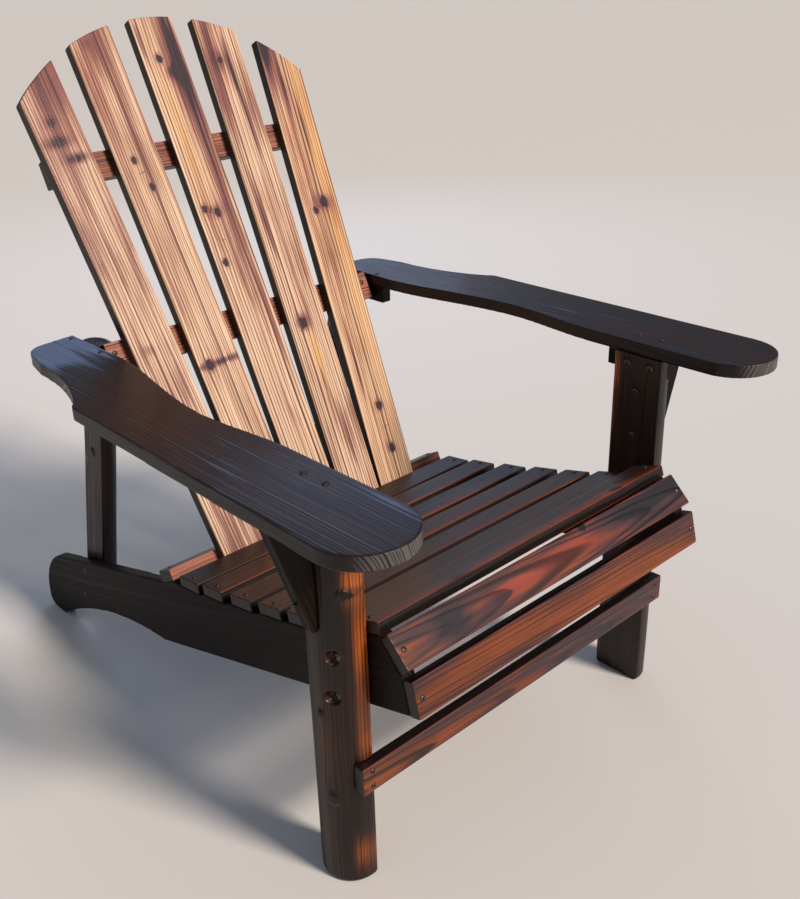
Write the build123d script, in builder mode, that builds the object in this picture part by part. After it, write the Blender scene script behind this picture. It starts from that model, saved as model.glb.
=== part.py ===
from build123d import *
from math import atan, cos, degrees, radians, sin
import os

os.makedirs("parts", exist_ok=True)

# Log-style adirondack chair in stained fir.
# Millimetres. X across the seat, front of the chair towards -Y, Z up from the floor.
# The origin lies on the floor, in the middle of the chair's outline.
# "Left" is the -X side and "right" the +X side. "Depth" is measured towards the back
# from the front edge of the front legs, and is turned into Y by leg_front_y.

# ---------------------------------------------------------------- driving dimensions
SEAT_WIDTH = 530
STRINGER_THICK = 20

LOG_RADIUS = 39
LEG_FLAT_OFFSET = 8
LEG_DEPTH = 38
LEG_HEIGHT = 520

POST_RADIUS = 27
POST_FLAT_OFFSET = 10
POST_FOOT_DEPTH = 735
POST_LEAN = degrees(atan(0.262))
POST_BOTTOM = 66
POST_TOP = 551

SLAT_WIDTH = 46
SLAT_THICK = 16
# Middle of each seat slat's top face: depth, height, tilt (negative falls to the back).
SEAT_SLATS = [
    (373, 256, -7.5),
    (316, 268.5, -9.5),
    (250, 284, -10.5),
    (188, 300.5, -13),
    (128, 316.5, -14),
    (69, 335, -16),
    (7, 366.5, -18),
]
UPPER_APRON = (-46.5, 349.5, 44.5)
LOWER_APRON = (-74, 300, 76)

BACK_FOOT_DEPTH = 277
BACK_RECLINE = degrees(atan(0.4953))
BACK_SLAT_WIDTH = 71
BACK_SLAT_THICK = 17
BACK_SLAT_BOTTOM = 270
BACK_SLAT_PITCH = 75.5
BACK_FAN_STEP = 2.25
BACK_TOP_RADIUS = 332
BACK_TOP = 1052

RAIL_THICK = 18
# Height of each rail's lower edge along the back, its width and its whole length.
TOP_RAIL = (836, 39, 459)
MID_RAIL = (569, 44, 480)
BOTTOM_RAIL = (272, 18, SEAT_WIDTH)
BOTTOM_RAIL_THICK = 34

ARM_THICK = 18
ARM_INNER = 265
ARM_OUTER = 382
ARM_TAB_OUTER = 332
ARM_TAB_END = 644
ARM_NOSE_DEPTH = -67

# The stringers' tails end the chair at the back, and the arms' noses at the front.
TAIL_END = 855
TAIL_TOP = (799, 116)
TAIL_CORNER = 20

GUSSET_THICK = 19
GUSSET_INNER = 310
GUSSET_OUTER = 368
GUSSET_TIP = 362

FRONT_CLEAT = (283, 22, 4, 99)
FRONT_CLEAT_HIGH = 31
REAR_CLEAT_THICK = 18
REAR_CLEAT = (526, 640)
REAR_CLEAT_HIGH = 26

STRETCHER_LENGTH = 585
STRETCHER_FRONT = -12
STRETCHER_BOTTOM = 144
STRETCHER_HIGH = 39

SHANK_RADIUS = 1.8
HEAD_SINK = 1.2
HEAD_PROUD = 1.3
EASED_EDGE = 2
SPOT_FACE_RADIUS = 9
SPOT_FACE_X = 299

# ---------------------------------------------------------------- shared values
nose_radius = (ARM_OUTER - ARM_INNER) / 2
nose_middle = (ARM_INNER + ARM_OUTER) / 2
leg_front_y = -(TAIL_END + ARM_NOSE_DEPTH - nose_radius) / 2
half_seat = SEAT_WIDTH / 2
stringer_inner = half_seat - STRINGER_THICK
leg_axis_x = half_seat + LEG_FLAT_OFFSET
post_axis_x = stringer_inner - POST_FLAT_OFFSET
arm_top = LEG_HEIGHT + ARM_THICK
sides = {"left": -1, "right": 1}

back_plane = Plane(
    origin=(0, leg_front_y + BACK_FOOT_DEPTH, 0),
    x_dir=(1, 0, 0),
    z_dir=(0, -cos(radians(BACK_RECLINE)), sin(radians(BACK_RECLINE))),
)


def side_plane(x):
    """Upright plane across the chair: its x is depth, its y is height, its normal is +X."""
    return Plane(origin=(x, leg_front_y, 0), x_dir=(0, 1, 0), z_dir=(1, 0, 0))


def level_plane(height):
    """Level plane: its x is the chair's X, its y is depth."""
    return Plane(origin=(0, leg_front_y, height), x_dir=(1, 0, 0), z_dir=(0, 0, 1))


def post_plane(side):
    """Plane across the foot of a leaning rear post, its normal up the post's axis."""
    lean = radians(POST_LEAN)
    foot = (side * post_axis_x, leg_front_y + POST_FOOT_DEPTH, 0)
    return Plane(origin=foot, x_dir=(1, 0, 0), z_dir=(0, -sin(lean), cos(lean)))


def along_slat(slat, along, down):
    """Depth and height of a point of a slat's end, from the middle of its top face."""
    depth, height, tilt = slat
    c = cos(radians(tilt))
    s = sin(radians(tilt))
    return (depth + along * c + down * s, height + along * s - down * c)


def back_point(along, behind):
    """Depth and height of a point on the back, along it and behind its front face."""
    c = cos(radians(BACK_RECLINE))
    s = sin(radians(BACK_RECLINE))
    return (BACK_FOOT_DEPTH + along * s + behind * c, along * c - behind * s)


def outward(x, depth, height, direction):
    """Plane on a screw's head: its normal points out of the wood."""
    return Plane(origin=(x, leg_front_y + depth, height), z_dir=direction)


# ---------------------------------------------------------------- where the screws go
seat_screw_x = half_seat - STRINGER_THICK / 2
seat_screw_planes = []
for slat in SEAT_SLATS + [UPPER_APRON, LOWER_APRON]:
    tilt = radians(slat[2])
    for side in sides.values():
        head = outward(side * seat_screw_x, slat[0], slat[1], (0, -sin(tilt), cos(tilt)))
        seat_screw_planes.append(head)

stretcher_screw_planes = [
    outward(side * 277, STRETCHER_FRONT, height, (0, -1, 0))
    for side in sides.values()
    for height in (STRETCHER_BOTTOM + 9, STRETCHER_BOTTOM + 30)
]
leg_screw_planes = [
    outward(side * SPOT_FACE_X, depth, height, (side, 0, 0))
    for side in sides.values()
    for depth, height in ((15, 331), (18, 277))
]
post_screw_planes = [
    outward(side * half_seat, depth, height, (side, 0, 0))
    for side in sides.values()
    for depth, height in ((694, 133), (708, 82))
]
front_cleat_screw_planes = [
    outward(side * half_seat, depth, 505, (-side, 0, 0))
    for side in sides.values()
    for depth in (18, 54)
]
rear_cleat_screw_planes = [
    outward(side * (stringer_inner + REAR_CLEAT_THICK), depth, 507, (side, 0, 0))
    for side in sides.values()
    for depth in (590, 614)
]
gusset_screw_planes = [
    outward(side * half_seat, LEG_DEPTH, height, (-side, 0, 0))
    for side in sides.values()
    for height in (403, 468)
]
arm_screw_planes = [
    outward(side * x, depth, arm_top, (0, 0, 1))
    for side in sides.values()
    for x, depth in ((294, 22), (294, 58), (254, 548), (254, 630))
]

back_screw_planes = []
for row, (rail, thick) in enumerate(
    ((TOP_RAIL, RAIL_THICK), (MID_RAIL, RAIL_THICK), (BOTTOM_RAIL, BOTTOM_RAIL_THICK))
):
    height = rail[0] + rail[1] / 2
    for slat_number in range(-2, 3):
        fan = radians(slat_number * BACK_FAN_STEP)
        middle = slat_number * BACK_SLAT_PITCH + (height - BACK_SLAT_BOTTOM) * sin(fan)
        for offset in (-18, 18):
            depth, z = back_point(height, BACK_SLAT_THICK + thick)
            back = (0, cos(radians(BACK_RECLINE)), -sin(radians(BACK_RECLINE)))
            back_screw_planes.append((row, outward(middle + offset, depth, z, back)))
rail_screw_planes = [plane for row, plane in back_screw_planes if row < 2]
foot_screw_planes = [plane for row, plane in back_screw_planes if row == 2]

mid_rail_depth, mid_rail_height = back_point(MID_RAIL[0] + MID_RAIL[1] / 2 + 6, BACK_SLAT_THICK)
mid_rail_screw_planes = [
    outward(side * 228, mid_rail_depth, mid_rail_height, back_plane.z_dir)
    for side in sides.values()
]
bottom_rail_depth, bottom_rail_height = back_point(
    BOTTOM_RAIL[0] + BOTTOM_RAIL[1], BACK_SLAT_THICK + BOTTOM_RAIL_THICK / 2
)
bottom_rail_screw_planes = [
    outward(side * seat_screw_x, bottom_rail_depth, bottom_rail_height, back_plane.y_dir)
    for side in sides.values()
]

# Name, length, head diameter and places of each kind of screw.
SCREWS = [
    ("seat_screws", 34, 7, seat_screw_planes),
    ("stretcher_screws", 38, 7.5, stretcher_screw_planes),
    ("leg_screws", 50, 12, leg_screw_planes),
    ("post_screws", 45, 9, post_screw_planes),
    ("front_cleat_screws", 34, 11, front_cleat_screw_planes),
    ("rear_cleat_screws", 36, 8, rear_cleat_screw_planes),
    ("gusset_screws", 72, 8, gusset_screw_planes),
    ("arm_screws", 38, 7, arm_screw_planes),
    ("back_rail_screws", 30, 7, rail_screw_planes),
    ("back_foot_screws", 46, 7, foot_screw_planes),
    ("mid_rail_screws", 34, 7.5, mid_rail_screw_planes),
    ("bottom_rail_screws", 38, 7.5, bottom_rail_screw_planes),
]

# Every screw's bore: the same outline as the screw, open above its head.
with BuildPart() as bores:
    for _, length, head_diameter, planes in SCREWS:
        with Locations(*planes):
            Cylinder(SHANK_RADIUS, length, align=(Align.CENTER, Align.CENTER, Align.MAX))
            with Locations((0, 0, -HEAD_SINK)):
                Cylinder(
                    head_diameter / 2,
                    HEAD_SINK + HEAD_PROUD,
                    align=(Align.CENTER, Align.CENTER, Align.MIN),
                )


def finish(piece, name):
    """Label a finished sub-part and write its STEP file."""
    piece.part.label = name
    export_step(piece.part, f"parts/{name}.step")


# ---------------------------------------------------------------- stringers
# A stringer is cut to a facet under each seat slat, then falls straight to its round foot.
foot_front = 806
tail_side = (TAIL_END, TAIL_CORNER)
foot_back = (TAIL_END - TAIL_CORNER, 0)
arch_middle = (650, 76)
belly_break = (462, 113)

seat_facets = []
for slat in reversed(SEAT_SLATS):
    seat_facets.append(along_slat(slat, -SLAT_WIDTH / 2, SLAT_THICK))
    seat_facets.append(along_slat(slat, SLAT_WIDTH / 2, SLAT_THICK))
front_facets = []
for apron in (LOWER_APRON, UPPER_APRON):
    front_facets.append(along_slat(apron, -SLAT_WIDTH / 2, SLAT_THICK))
    front_facets.append(along_slat(apron, SLAT_WIDTH / 2, SLAT_THICK))
rail_seat = [
    back_point(BOTTOM_RAIL[0], BACK_SLAT_THICK),
    back_point(BOTTOM_RAIL[0], BACK_SLAT_THICK + BOTTOM_RAIL_THICK),
]

for name, side in sides.items():
    with BuildPart() as stringer:
        with BuildSketch(side_plane(side * (half_seat - STRINGER_THICK / 2))):
            with BuildLine():
                Polyline(front_facets + seat_facets + rail_seat + [TAIL_TOP])
                TangentArc(tail_side, TAIL_TOP, tangent=(0, 1))
                TangentArc(tail_side, foot_back, tangent=(0, -1))
                Line(foot_back, (foot_front, 0))
                ThreePointArc((foot_front, 0), arch_middle, belly_break)
                Line(belly_break, front_facets[0])
            make_face()
        extrude(amount=STRINGER_THICK / 2, both=True)
        add(bores.part, mode=Mode.SUBTRACT)
    finish(stringer, f"stringer_{name}")

# ---------------------------------------------------------------- front legs
# Sawn half logs, flat face inwards, rebated at the top for the cleat under the arm.
rebate_bottom = LEG_HEIGHT - FRONT_CLEAT_HIGH
stretcher_back = STRETCHER_FRONT + SLAT_THICK
gusset_front = LEG_DEPTH - GUSSET_THICK / 2

for name, side in sides.items():
    with BuildPart() as leg:
        with BuildSketch(level_plane(0)):
            with Locations((side * leg_axis_x, LEG_DEPTH)):
                Circle(LOG_RADIUS)
            with Locations((side * (half_seat - LOG_RADIUS), LEG_DEPTH)):
                Rectangle(2 * LOG_RADIUS, 3 * LOG_RADIUS, mode=Mode.SUBTRACT)
        extrude(amount=LEG_HEIGHT)
        bottom_arc = leg.edges().filter_by(GeomType.CIRCLE).sort_by(Axis.Z)[0]
        fillet(bottom_arc, 5)
        with BuildSketch(level_plane(rebate_bottom)):
            with Locations((side * (FRONT_CLEAT[0] + LOG_RADIUS), LEG_DEPTH)):
                Rectangle(2 * LOG_RADIUS, 3 * LOG_RADIUS)
        extrude(amount=FRONT_CLEAT_HIGH, mode=Mode.SUBTRACT)
        with BuildSketch(level_plane(STRETCHER_BOTTOM)):
            with Locations((side * leg_axis_x, stretcher_back - LOG_RADIUS)):
                Rectangle(3 * LOG_RADIUS, 2 * LOG_RADIUS)
        extrude(amount=STRETCHER_HIGH, mode=Mode.SUBTRACT)
        with BuildSketch(level_plane(GUSSET_TIP)):
            with Locations((side * (GUSSET_INNER + LOG_RADIUS), LEG_DEPTH)):
                Rectangle(2 * LOG_RADIUS, GUSSET_THICK)
        extrude(amount=LEG_HEIGHT - GUSSET_TIP, mode=Mode.SUBTRACT)
        # Spot faces for the leg screws' heads.
        with Locations(*leg_screw_planes):
            Cylinder(
                SPOT_FACE_RADIUS,
                LOG_RADIUS,
                align=(Align.CENTER, Align.CENTER, Align.MIN),
                mode=Mode.SUBTRACT,
            )
        add(bores.part, mode=Mode.SUBTRACT)
    finish(leg, f"front_leg_{name}")

# ---------------------------------------------------------------- rear posts
# Slimmer half logs that lean forwards, flat face out against the stringer, top domed.
for name, side in sides.items():
    with BuildPart() as post:
        with BuildSketch(post_plane(side).offset(POST_BOTTOM)):
            Circle(POST_RADIUS)
            with Locations((side * (POST_FLAT_OFFSET + POST_RADIUS), 0)):
                Rectangle(2 * POST_RADIUS, 3 * POST_RADIUS, mode=Mode.SUBTRACT)
        extrude(amount=POST_TOP - POST_BOTTOM)
        top_arc = post.edges().filter_by(GeomType.CIRCLE).sort_by(Axis.Z)[-1]
        fillet(top_arc, 9)
        # Bevel that the middle rail of the back lies on.
        with BuildSketch(back_plane.offset(-BACK_SLAT_THICK - RAIL_THICK)):
            with Locations((side * post_axis_x, MID_RAIL[0] + 60)):
                Rectangle(3 * POST_RADIUS, 160)
        extrude(amount=60, mode=Mode.SUBTRACT)
        add(bores.part, mode=Mode.SUBTRACT)
    finish(post, f"rear_post_{name}")

# ---------------------------------------------------------------- seat slats and aprons
for number, slat in enumerate(SEAT_SLATS + [UPPER_APRON, LOWER_APRON], start=1):
    depth, height, tilt = slat
    with BuildPart() as board:
        with BuildSketch(side_plane(0)):
            with Locations(Location((depth, height, 0), (0, 0, tilt))):
                Rectangle(SLAT_WIDTH, SLAT_THICK, align=(Align.CENTER, Align.MAX))
        extrude(amount=half_seat, both=True)
        fillet(board.edges().filter_by(Axis.X), EASED_EDGE)
        add(bores.part, mode=Mode.SUBTRACT)
    if number <= len(SEAT_SLATS):
        finish(board, f"seat_slat_{number}")
    else:
        finish(board, "apron_upper" if slat is UPPER_APRON else "apron_lower")

# ---------------------------------------------------------------- back slats
# The five tops are sawn to one arc.
with BuildSketch() as back_outline:
    with Locations((0, BACK_TOP - BACK_TOP_RADIUS)):
        Circle(BACK_TOP_RADIUS)
    Rectangle(
        2 * BACK_TOP_RADIUS,
        BACK_TOP - BACK_TOP_RADIUS,
        align=(Align.CENTER, Align.MIN),
    )

for number in range(5):
    step = number - 2
    with BuildPart() as slat_board:
        with BuildSketch(back_plane):
            with Locations(
                Location((step * BACK_SLAT_PITCH, BACK_SLAT_BOTTOM, 0), (0, 0, -step * BACK_FAN_STEP))
            ):
                Rectangle(BACK_SLAT_WIDTH, BACK_TOP, align=(Align.CENTER, Align.MIN))
            add(back_outline.sketch, mode=Mode.INTERSECT)
        extrude(amount=-BACK_SLAT_THICK)
        long_edges = slat_board.edges().filter_by(lambda edge: edge.length > BACK_TOP / 2)
        fillet(long_edges, EASED_EDGE)
        add(bores.part, mode=Mode.SUBTRACT)
    finish(slat_board, f"back_slat_{number + 1}")

# ---------------------------------------------------------------- rails of the back
for name, rail, thick in (
    ("back_rail_top", TOP_RAIL, RAIL_THICK),
    ("back_rail_mid", MID_RAIL, RAIL_THICK),
    ("back_rail_bottom", BOTTOM_RAIL, BOTTOM_RAIL_THICK),
):
    low, width, length = rail
    with BuildPart() as rail_board:
        with BuildSketch(back_plane.offset(-BACK_SLAT_THICK)):
            with Locations((0, low)):
                Rectangle(length, width, align=(Align.CENTER, Align.MIN))
        extrude(amount=-thick)
        fillet(rail_board.edges().filter_by(Axis.X), EASED_EDGE / 2)
        add(bores.part, mode=Mode.SUBTRACT)
    finish(rail_board, name)

# ---------------------------------------------------------------- arms
with BuildSketch() as arm_outline:
    with BuildLine():
        ThreePointArc(
            (ARM_INNER, ARM_NOSE_DEPTH),
            (nose_middle, ARM_NOSE_DEPTH - nose_radius),
            (ARM_OUTER, ARM_NOSE_DEPTH),
        )
        Line((ARM_OUTER, ARM_NOSE_DEPTH), (376, 392))
        ThreePointArc((376, 392), (375, 400), (369, 408))
        ThreePointArc((369, 408), (342, 480), (ARM_TAB_OUTER, 570))
        Line((ARM_TAB_OUTER, 570), (324, 610))
        ThreePointArc((324, 610), (315, 628), (297, 638))
        Line((297, 638), (stringer_inner, ARM_TAB_END))
        Line((stringer_inner, ARM_TAB_END), (stringer_inner, 510))
        Spline(
            (stringer_inner, 510),
            (256, 420),
            (278, 265),
            (ARM_INNER, 110),
            tangents=[(0, -1), (0, -1)],
        )
        Line((ARM_INNER, 110), (ARM_INNER, ARM_NOSE_DEPTH))
    make_face()

for name, side in sides.items():
    with BuildPart() as arm:
        with BuildSketch(level_plane(LEG_HEIGHT)):
            add(arm_outline.sketch)
            if side < 0:
                mirror(about=Plane.YZ, mode=Mode.REPLACE)
        extrude(amount=ARM_THICK)
        add(bores.part, mode=Mode.SUBTRACT)
    finish(arm, f"arm_{name}")

# ---------------------------------------------------------------- cleats and gussets
for name, side in sides.items():
    inner, thick, front, rear = FRONT_CLEAT
    with BuildPart() as front_cleat:
        with BuildSketch(level_plane(rebate_bottom)):
            with Locations((side * (inner + thick / 2), (front + rear) / 2)):
                Rectangle(thick, rear - front)
        extrude(amount=FRONT_CLEAT_HIGH)
        add(bores.part, mode=Mode.SUBTRACT)
    finish(front_cleat, f"front_cleat_{name}")

    front, rear = REAR_CLEAT
    with BuildPart() as rear_cleat:
        with BuildSketch(level_plane(LEG_HEIGHT - REAR_CLEAT_HIGH)):
            with Locations((side * (stringer_inner + REAR_CLEAT_THICK / 2), (front + rear) / 2)):
                Rectangle(REAR_CLEAT_THICK, rear - front)
        extrude(amount=REAR_CLEAT_HIGH)
        add(bores.part, mode=Mode.SUBTRACT)
    finish(rear_cleat, f"rear_cleat_{name}")

    gusset_face = Plane(
        origin=(0, leg_front_y + LEG_DEPTH, 0), x_dir=(side, 0, 0), z_dir=(0, -side, 0)
    )
    with BuildPart() as gusset:
        with BuildSketch(gusset_face):
            with BuildLine():
                Polyline(
                    (GUSSET_INNER, GUSSET_TIP),
                    (GUSSET_INNER + 7, GUSSET_TIP),
                    (GUSSET_OUTER, LEG_HEIGHT - 4),
                    (GUSSET_OUTER, LEG_HEIGHT),
                    (GUSSET_INNER, LEG_HEIGHT),
                    close=True,
                )
            make_face()
        extrude(amount=GUSSET_THICK / 2, both=True)
        add(bores.part, mode=Mode.SUBTRACT)
    finish(gusset, f"gusset_{name}")

# ---------------------------------------------------------------- front stretcher
with BuildPart() as stretcher:
    with BuildSketch(level_plane(STRETCHER_BOTTOM)):
        with Locations((0, STRETCHER_FRONT)):
            Rectangle(STRETCHER_LENGTH, SLAT_THICK, align=(Align.CENTER, Align.MIN))
    extrude(amount=STRETCHER_HIGH)
    fillet(stretcher.edges().filter_by(Axis.X).group_by(Axis.Y)[0], EASED_EDGE)
    add(bores.part, mode=Mode.SUBTRACT)
finish(stretcher, "front_stretcher")

# ---------------------------------------------------------------- screws
for name, length, head_diameter, planes in SCREWS:
    with BuildPart() as screw:
        Cylinder(SHANK_RADIUS, length, align=(Align.CENTER, Align.CENTER, Align.MAX))
        with Locations((0, 0, -HEAD_SINK)):
            Cylinder(
                head_diameter / 2,
                HEAD_SINK + HEAD_PROUD,
                align=(Align.CENTER, Align.CENTER, Align.MIN),
            )
        fillet(screw.edges().sort_by(Axis.Z)[-1], HEAD_PROUD * 0.8)
        # Cross recess.
        with Locations((0, 0, HEAD_PROUD)):
            Box(head_diameter * 0.5, 0.9, 2.6, mode=Mode.SUBTRACT)
            Box(0.9, head_diameter * 0.5, 2.6, mode=Mode.SUBTRACT)
    with BuildPart() as screws:
        with Locations(*planes):
            add(screw.part)
    finish(screws, name)
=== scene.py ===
# Log-style adirondack chair: scorched, brushed and varnished fir boards on sawn half logs.
import math
import random

import bmesh
import bpy
import numpy as np
from mathutils import Matrix, Vector


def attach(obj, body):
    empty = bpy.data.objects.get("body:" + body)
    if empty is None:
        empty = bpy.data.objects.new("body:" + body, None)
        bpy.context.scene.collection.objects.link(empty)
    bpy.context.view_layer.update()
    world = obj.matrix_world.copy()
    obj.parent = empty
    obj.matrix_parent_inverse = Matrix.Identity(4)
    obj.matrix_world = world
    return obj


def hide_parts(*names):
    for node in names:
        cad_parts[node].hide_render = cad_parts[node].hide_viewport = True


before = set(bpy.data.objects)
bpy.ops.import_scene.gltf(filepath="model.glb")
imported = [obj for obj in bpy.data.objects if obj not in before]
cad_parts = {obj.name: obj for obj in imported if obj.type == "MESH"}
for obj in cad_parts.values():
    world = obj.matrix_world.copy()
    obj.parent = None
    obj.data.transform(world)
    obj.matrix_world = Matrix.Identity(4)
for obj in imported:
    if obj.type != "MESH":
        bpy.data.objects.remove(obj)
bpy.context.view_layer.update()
mm = 0.001
print("frame loaded:", len(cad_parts), "CAD nodes")


# Turns an sRGB hex colour into linear light.
def linear(hexColour):
    parts = [int(hexColour[i:i + 2], 16) / 255 for i in (1, 3, 5)]
    return tuple(c / 12.92 if c <= 0.04045 else ((c + 0.055) / 1.055) ** 2.4 for c in parts) + (1.0,)


# Adds a node, sets its properties and sockets (a socket given as a value is linked),
# and hands back its first output; .node on that gives the node itself.
def add(tree, kind, sockets=None, **settings):
    node = tree.nodes.new(kind)
    node.location = (200 * (len(tree.nodes) % 12), -220 * (len(tree.nodes) // 12))
    for name, value in settings.items():
        setattr(node, name, value)
    for key, value in (sockets or {}).items():
        if isinstance(value, bpy.types.NodeSocket):
            tree.links.new(value, node.inputs[key])
        else:
            node.inputs[key].default_value = value
    return node.outputs[0] if node.outputs else node


# Starts a Geometry Nodes tree. Each input is a label, a kind of socket and a starting value.
def newTree(name, inputs):
    tree = bpy.data.node_groups.new(name, "GeometryNodeTree")
    tree.interface.new_socket("Geometry", in_out="INPUT", socket_type="NodeSocketGeometry")
    for label, kind, value in inputs:
        socket = tree.interface.new_socket(label, in_out="INPUT", socket_type=f"NodeSocket{kind}")
        if value is not None:
            socket.default_value = value
    tree.interface.new_socket("Geometry", in_out="OUTPUT", socket_type="NodeSocketGeometry")
    return tree, tree.nodes.new("NodeGroupInput").outputs


# Runs a tree on a mesh with the given inputs and hands back the result as a plain mesh.
def grow(mesh, tree, values):
    holder = bpy.data.objects.new("holder", mesh)
    bpy.context.scene.collection.objects.link(holder)
    modifier = holder.modifiers.new(tree.name, "NODES")
    modifier.node_group = tree
    for item in tree.interface.items_tree:
        if item.in_out == "INPUT" and item.name in values:
            modifier[item.identifier] = values[item.name]
    evaluated = holder.evaluated_get(bpy.context.evaluated_depsgraph_get())
    grown = bpy.data.meshes.new_from_object(evaluated)
    holder.modifiers.clear()
    bpy.data.objects.remove(holder)
    return grown


def readPoints(mesh):
    points = np.empty(len(mesh.vertices) * 3, np.float32)
    mesh.vertices.foreach_get("co", points)
    return points.reshape(-1, 3).astype(float)


def writePoints(mesh, points):
    mesh.vertices.foreach_set("co", np.asarray(points, np.float32).ravel())
    mesh.update()


def readNormals(mesh):
    normals = np.empty(len(mesh.vertices) * 3, np.float32)
    mesh.vertex_normals.foreach_get("vector", normals)
    return normals.reshape(-1, 3).astype(float)


def writeVectors(mesh, name, vectors):
    made = mesh.attributes.new(name, "FLOAT_VECTOR", "POINT")
    made.data.foreach_set("vector", np.asarray(vectors, np.float32).ravel())


# Goes from 0 at low to 1 at high, with soft ends; low may be the larger one.
def smoothStep(low, high, x):
    t = np.clip((x - low) / (high - low), 0, 1)
    return t * t * (3 - 2 * t)


# A board's frame: columns are along, across and the way its face looks; lengths in metres.
class BoardFrame:
    nearlySquare = 0.05  # cosine below which a face counts as square to a direction

    def __init__(self, node, alongHint, faceHint):
        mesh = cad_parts[node].data
        areas = np.empty(len(mesh.polygons), np.float32)
        mesh.polygons.foreach_get("area", areas)
        normals = np.empty(len(mesh.polygons) * 3, np.float32)
        mesh.polygons.foreach_get("normal", normals)
        normals = normals.reshape(-1, 3).astype(float)
        face = self.heaviest(normals, areas, np.array(faceHint, float))
        flat = np.abs(normals @ face) < self.nearlySquare
        hint = np.array(alongHint, float)
        side = self.heaviest(normals[flat], areas[flat], np.cross(face, hint))
        side -= (side @ face) * face  # a round log has no side that is exactly square
        side /= np.linalg.norm(side)
        along = np.cross(side, face)
        self.axes = np.column_stack([along, side, face])
        local = readPoints(mesh) @ self.axes
        self.low, self.high = local.min(0), local.max(0)
        self.size = self.high - self.low
        self.middle = (self.low + self.high) / 2

    # The direction that most of the surface looks in, among those on the hint's side.
    def heaviest(self, normals, areas, hint):
        towards = normals @ hint > self.nearlySquare
        rounded = np.round(normals[towards], 2)
        group = np.unique(rounded, axis=0, return_inverse=True)[1].ravel()
        weight = np.bincount(group, areas[towards])
        best = group == weight.argmax()
        mean = (normals[towards][best] * areas[towards][best][:, None]).sum(0)
        return mean / np.linalg.norm(mean)

    def toWorld(self, points):
        return (points + self.middle) @ self.axes.T

    def toLocal(self, points):
        return points @ self.axes - self.middle


# Growth rings, shared by the relief in the mesh and by the colour in the materials. Warps are
# in cycles per metre along, across and through the board.
ringShape = dict(
    slowWarp=(2.0, 11.0, 11.0),  # long bends of the whole grain, 500 mm by 90 mm
    slowAmount=9 * mm,
    quickWarp=(9.0, 55.0, 55.0),  # shorter wobble of each line, 110 mm by 18 mm
    quickAmount=1.5 * mm,
    yearsPerMetre=90,  # good and poor years come and go over some 11 mm
    yearsAmount=7 * mm,
    lineStarts=0.42,  # the dark line's place within one ring, as a share of the ring
    lineFull=0.84,
    lineFades=0.9,
)


# Counts growth rings outwards from the pith. "grain" is metres along the board and from its
# pith, already bent round the knots.
def ringCount(tree, grain, spacing, taper):
    place = add(tree, "ShaderNodeSeparateXYZ", {0: grain}).node.outputs
    slowPlace = add(tree, "ShaderNodeVectorMath", {0: grain, 1: ringShape["slowWarp"]},
                    operation="MULTIPLY")
    slow = add(tree, "ShaderNodeTexNoise", {"Vector": slowPlace, "Scale": 1.0, "Detail": 1.5})
    slow = add(tree, "ShaderNodeMath", {0: slow, 1: 0.5}, operation="SUBTRACT")
    quickPlace = add(tree, "ShaderNodeVectorMath", {0: grain, 1: ringShape["quickWarp"]},
                     operation="MULTIPLY")
    quick = add(tree, "ShaderNodeTexNoise", {"Vector": quickPlace, "Scale": 1.0, "Detail": 1.0})
    quick = add(tree, "ShaderNodeMath", {0: quick, 1: 0.5}, operation="SUBTRACT")
    flat = add(tree, "ShaderNodeVectorMath", {0: grain, 1: (0, 1, 1)}, operation="MULTIPLY")
    away = add(tree, "ShaderNodeVectorMath", {0: flat}, operation="LENGTH").node.outputs["Value"]
    away = add(tree, "ShaderNodeMath", {0: slow, 1: ringShape["slowAmount"], 2: away},
               operation="MULTIPLY_ADD")
    away = add(tree, "ShaderNodeMath", {0: quick, 1: ringShape["quickAmount"], 2: away},
               operation="MULTIPLY_ADD")
    away = add(tree, "ShaderNodeMath", {0: place["X"], 1: taper, 2: away}, operation="MULTIPLY_ADD")
    # Good and poor years: some rings are twice as wide as others.
    years = add(tree, "ShaderNodeMath", {0: away, 1: ringShape["yearsPerMetre"]}, operation="MULTIPLY")
    years = add(tree, "ShaderNodeTexNoise", {"W": years, "Scale": 1.0, "Detail": 1.0},
                noise_dimensions="1D")
    years = add(tree, "ShaderNodeMath", {0: years, 1: 0.5}, operation="SUBTRACT")
    away = add(tree, "ShaderNodeMath", {0: years, 1: ringShape["yearsAmount"], 2: away},
               operation="MULTIPLY_ADD")
    return add(tree, "ShaderNodeMath", {0: away, 1: spacing}, operation="DIVIDE")


# Dark late wood of each ring: rises slowly, then ends sharply where the next ring starts.
def lateWood(tree, rings):
    within = add(tree, "ShaderNodeMath", {0: rings}, operation="FRACT")
    rise = add(tree, "ShaderNodeMapRange",
               {"Value": within, "From Min": ringShape["lineStarts"], "From Max": ringShape["lineFull"]},
               interpolation_type="SMOOTHSTEP")
    fall = add(tree, "ShaderNodeMapRange",
               {"Value": within, "From Min": ringShape["lineFades"], "From Max": 1.0},
               interpolation_type="SMOOTHSTEP")
    return add(tree, "ShaderNodeMath", {0: rise, 1: fall}, operation="SUBTRACT")


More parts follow.
